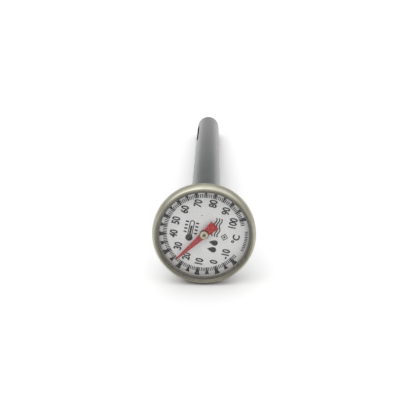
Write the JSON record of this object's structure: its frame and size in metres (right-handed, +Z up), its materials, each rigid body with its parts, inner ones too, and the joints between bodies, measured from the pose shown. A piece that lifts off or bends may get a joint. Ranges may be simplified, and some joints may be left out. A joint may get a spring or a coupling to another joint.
{
  "type": "dial thermometer",
  "caption": "Pocket dial thermometer: round Celsius dial with a red pointer, a thin probe stem behind it and a closed grey sheath with a pocket clip over the stem.",
  "frame": {"origin": "on the table, under the middle of the whole thermometer's box, with the thermometer lying on its bezel's rim and its sheath's tip", "axes": "+Z up, +Y from the dial towards the sheath's tip, along the table, +X to the right of someone reading the dial"},
  "size_m": [0.0268, 0.1334, 0.0269],
  "materials": {
    "bezel_steel": "satin",
    "case_steel": "satin",
    "clear_lens": "polished",
    "gasket_rubber": "matte",
    "spacer_plastic": "matte",
    "dial_enamel": "satin",
    "dial_ink": "matte",
    "needle_red": "satin",
    "hub_brass": "polished",
    "stem_steel": "satin",
    "bimetal": "satin",
    "bush_brass": "satin",
    "sheath_grey": "satin",
    "clip_steel": "polished"
  },
  "bodies": {
    "head": {"case_cup": "case_steel", "bezel_ring": "bezel_steel", "lens": "clear_lens", "lens_gasket": "gasket_rubber", "dial_spacer_ring": "spacer_plastic", "dial_plate": "dial_enamel"},
    "stem": {"stem_tube": "stem_steel", "stem_tip_plug": "stem_steel", "stem_collar": "stem_steel", "friction_washer": "clip_steel", "calibration_nut": "stem_steel", "upper_shaft_guide": "bush_brass", "lower_shaft_guide": "bush_brass", "bimetal_coil": "bimetal", "coil_anchor": "stem_steel"},
    "pointer": {"pointer_needle": "needle_red", "pointer_hub": "hub_brass", "pointer_shaft": "stem_steel", "coil_collet": "bush_brass"},
    "sheath": {"sheath_tube": "sheath_grey", "clip_band": "clip_steel"},
    "clip": {"clip_arm": "clip_steel"}
  },
  "joints": [
    {"name": "calibration_turn", "type": "hinge", "parent": "head", "child": "stem", "pos_m": [0, -0.05885, 0.0131], "axis": [0, 0.9974, -0.0716], "continuous": true},
    {"name": "pointer_turn", "type": "hinge", "parent": "stem", "child": "pointer", "pos_m": [0, -0.06334, 0.01342], "axis": [0, 0.9974, -0.0716], "range_deg": [-98.6, 210.5], "stiffness_Nm_per_rad": 0.00005},
    {"name": "sheath_slide", "type": "slide", "parent": "stem", "child": "sheath", "axis": [0, 0.9974, -0.0716], "range_m": [0, 0.125]},
    {"name": "clip_flex", "type": "hinge", "parent": "sheath", "child": "clip", "pos_m": [0, -0.05417, 0.00713], "axis": [-1, 0, 0], "range_deg": [0, 3.5], "stiffness_Nm_per_rad": 0.5}
  ]
}
